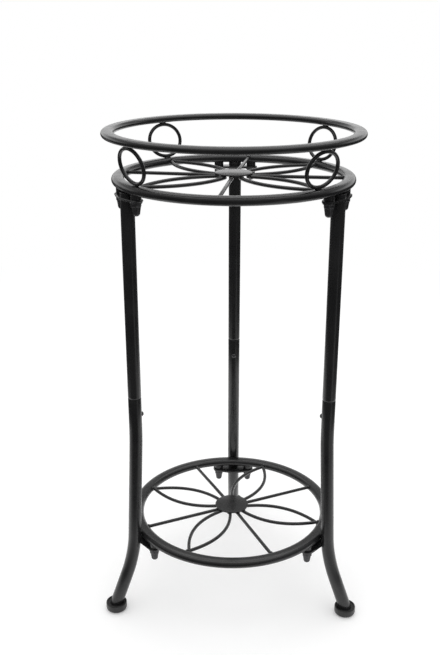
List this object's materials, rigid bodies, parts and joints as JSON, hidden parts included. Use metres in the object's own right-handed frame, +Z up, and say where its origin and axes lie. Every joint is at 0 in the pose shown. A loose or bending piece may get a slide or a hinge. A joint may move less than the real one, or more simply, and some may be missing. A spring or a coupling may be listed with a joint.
{
  "type": "plant stand",
  "caption": "Round floor-standing plant stand with a guard ring on wire loops, an upper and a lower shelf of petal-shaped rods, and splayed bolted tube legs.",
  "frame": {"origin": "on the floor, under the middle of the stand's outline box; the stand's upright axis passes 16.7 mm in front of it", "axes": "+Z up; -Y towards the front, +Y towards the leg at the back; +X to the right seen from the front"},
  "size_m": [0.3432, 0.3584, 0.6439],
  "materials": {
    "black_paint": "satin black powder coat",
    "black_fastener": "black coated cap nuts and screws",
    "black_rubber": "matte black moulded glide"
  },
  "bodies": {
    "root": {"upper_leg_1": "black_paint", "upper_leg_2": "black_paint", "upper_leg_3": "black_paint", "lower_leg_1": "black_paint", "lower_leg_2": "black_paint", "lower_leg_3": "black_paint", "splice_screw_1": "black_fastener", "splice_screw_2": "black_fastener", "splice_screw_3": "black_fastener", "foot_1": "black_rubber", "foot_2": "black_rubber", "foot_3": "black_rubber", "guard_ring": "black_paint", "guard_loop_1": "black_paint", "guard_loop_2": "black_paint", "guard_loop_3": "black_paint", "guard_loop_4": "black_paint", "top_ring": "black_paint", "top_hub": "black_paint", "top_petal_1": "black_paint", "top_petal_2": "black_paint", "top_petal_3": "black_paint", "top_petal_4": "black_paint", "top_spoke_1": "black_paint", "top_spoke_2": "black_paint", "top_spoke_3": "black_paint", "top_spoke_4": "black_paint", "top_bracket_1": "black_paint", "top_bracket_2": "black_paint", "top_bracket_3": "black_paint", "top_bolt_1": "black_fastener", "top_bolt_2": "black_fastener", "top_bolt_3": "black_fastener", "top_bolt_4": "black_fastener", "top_bolt_5": "black_fastener", "top_bolt_6": "black_fastener", "lower_ring": "black_paint", "lower_hub": "black_paint", "lower_petal_1": "black_paint", "lower_petal_2": "black_paint", "lower_petal_3": "black_paint", "lower_petal_4": "black_paint", "lower_spoke_1": "black_paint", "lower_spoke_2": "black_paint", "lower_spoke_3": "black_paint", "lower_spoke_4": "black_paint", "lower_bracket_1": "black_paint", "lower_bracket_2": "black_paint", "lower_bracket_3": "black_paint", "lower_bolt_1": "black_fastener", "lower_bolt_2": "black_fastener", "lower_bolt_3": "black_fastener", "lower_bolt_4": "black_fastener", "lower_bolt_5": "black_fastener", "lower_bolt_6": "black_fastener"}
  },
  "joints": []
}
